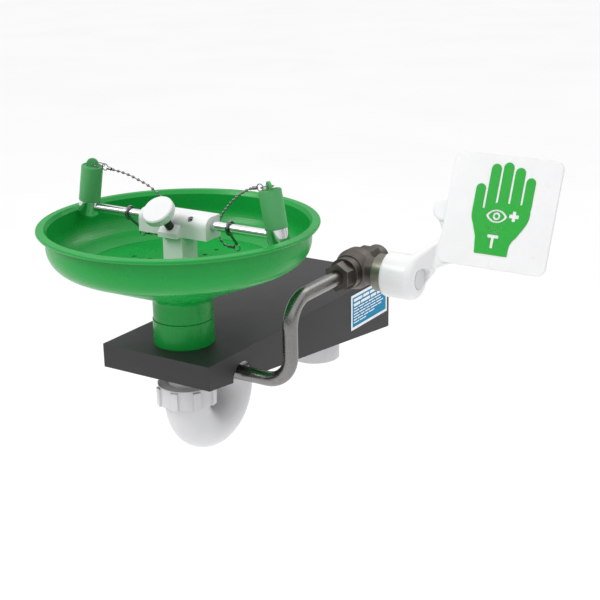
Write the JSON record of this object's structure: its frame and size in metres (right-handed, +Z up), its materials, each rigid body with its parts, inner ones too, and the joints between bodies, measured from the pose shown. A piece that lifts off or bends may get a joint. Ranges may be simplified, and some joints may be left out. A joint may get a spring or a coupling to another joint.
{
  "type": "wall-mounted emergency eyewash station",
  "caption": "Wall-mounted eyewash: round bowl on a shelf bracket, spray heads under lift-off dust caps, and a push-flag valve.",
  "frame": {"origin": "middle of the wall plate's back face, on the wall", "axes": "+Y runs into the wall and -Y towards the user, +Z up, +X to the user's right, where the valve and its flag are"},
  "size_m": [0.466, 0.453, 0.3134],
  "materials": {
    "dark_paint": "fine powder coat",
    "label_blue": "printed film",
    "green_gloss": "high gloss",
    "black_rubber": "matt",
    "drain_white": "satin",
    "pipe_grey": "satin",
    "plain_brass": "machined",
    "brushed_tube": "brushed",
    "dark_bronze": "dark satin",
    "seat_ptfe": "waxy",
    "packing_black": "matt",
    "olive_bronze": "satin",
    "bright_chrome": "polished",
    "handle_white": "satin gloss",
    "cap_grey": "satin",
    "sign_green": "printed film",
    "head_white": "satin",
    "plug_grey": "satin",
    "stem_dark": "satin",
    "cap_green": "satin"
  },
  "bodies": {
    "station": {"bracket_shell": "dark_paint", "wall_plate": "dark_paint", "side_label": "label_blue", "bowl": "green_gloss", "neck_collar": "green_gloss", "strainer_plate": "green_gloss", "drain_gasket": "black_rubber", "drain_body": "drain_white", "drain_locknut": "drain_white", "trap_slip_nut": "pipe_grey", "trap_washer": "drain_white", "trap_j_bend": "pipe_grey", "trap_elbow": "pipe_grey", "trap_arm": "pipe_grey", "waste_elbow": "pipe_grey", "feed_elbow": "plain_brass", "feed_nut": "plain_brass", "tube_ferrules": "plain_brass", "supply_tube": "brushed_tube", "compression_nut": "dark_bronze", "valve_end": "dark_bronze", "valve_body": "dark_bronze", "valve_seats": "seat_ptfe", "stem_packing": "packing_black", "bonnet_nut": "olive_bronze", "head_post": "head_white", "head_block": "head_white", "head_plugs": "plug_grey", "arm_tube_left": "bright_chrome", "arm_tube_right": "bright_chrome", "spray_head_left": "bright_chrome", "spray_head_right": "bright_chrome", "nozzle_left": "bright_chrome", "nozzle_right": "bright_chrome", "tube_clip_left": "bright_chrome", "tube_clip_right": "bright_chrome", "chain_left": "bright_chrome", "chain_right": "bright_chrome"},
    "push_handle": {"valve_ball": "bright_chrome", "valve_stem": "bright_chrome", "handle_hub": "handle_white", "hub_screw": "bright_chrome", "hub_cap": "cap_grey", "flag_plate": "handle_white", "flag_screws": "bright_chrome", "flag_hand": "sign_green"},
    "flow_control": {"flow_knob": "head_white", "knob_stem": "stem_dark"},
    "left_cap": {"dust_cap_left": "cap_green", "cap_link_left": "bright_chrome"},
    "right_cap": {"dust_cap_right": "cap_green", "cap_link_right": "bright_chrome"}
  },
  "joints": [
    {"name": "handle_turn", "type": "hinge", "parent": "station", "child": "push_handle", "pos_m": [0.163, -0.179, 0.0945], "axis": [-1, 0, 0], "range_deg": [0, 90]},
    {"name": "flow_knob_turn", "type": "hinge", "parent": "station", "child": "flow_control", "pos_m": [0, -0.3285, 0.1587], "axis": [0, -0.6428, 0.766], "range_deg": [0, 270]},
    {"name": "left_cap_lift", "type": "slide", "parent": "station", "child": "left_cap", "axis": [0.1822, 0, 0.9833], "range_m": [0, 0.03]},
    {"name": "right_cap_lift", "type": "slide", "parent": "station", "child": "right_cap", "axis": [-0.1822, 0, 0.9833], "range_m": [0, 0.03]}
  ]
}
